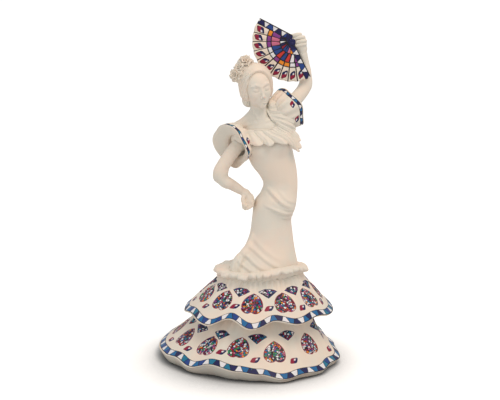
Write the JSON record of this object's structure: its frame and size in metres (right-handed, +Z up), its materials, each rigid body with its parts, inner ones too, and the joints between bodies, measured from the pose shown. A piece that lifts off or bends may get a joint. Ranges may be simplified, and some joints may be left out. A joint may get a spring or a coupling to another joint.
{
  "type": "dancer figurine",
  "caption": "Free-standing hollow-cast porcelain dancer figurine with a tiered flounced skirt, frilled bodice and raised open fan, in bisque with mosaic decals.",
  "frame": {"origin": "on the table, at the middle of the flat base", "axes": "+Z up, the dancer faces -Y, +X is the dancer's left"},
  "size_m": [0.1551, 0.1615, 0.287],
  "materials": {
    "bisque": "matt unglazed bisque porcelain, warm white",
    "decorated_bisque": "bisque porcelain with fired mosaic decals in navy, blue, white and crimson",
    "decorated_fan": "bisque plate covered by a fired mosaic decal with black outlines"
  },
  "bodies": {
    "root": {"arm_left": "bisque", "arm_right": "bisque", "base_plate": "bisque", "bodice": "bisque", "chignon": "bisque", "fan": "decorated_fan", "flounce_heading": "bisque", "flower_bud": "bisque", "flower_crown": "bisque", "flower_temple": "bisque", "frill_back": "bisque", "frill_chest": "bisque", "frill_left_lower": "bisque", "frill_left_upper": "bisque", "gown": "bisque", "hair": "bisque", "hand_left": "bisque", "hand_right": "bisque", "head": "bisque", "lower_flounce": "decorated_bisque", "sleeve_left": "decorated_bisque", "sleeve_right": "decorated_bisque", "upper_flounce": "decorated_bisque"}
  },
  "joints": []
}
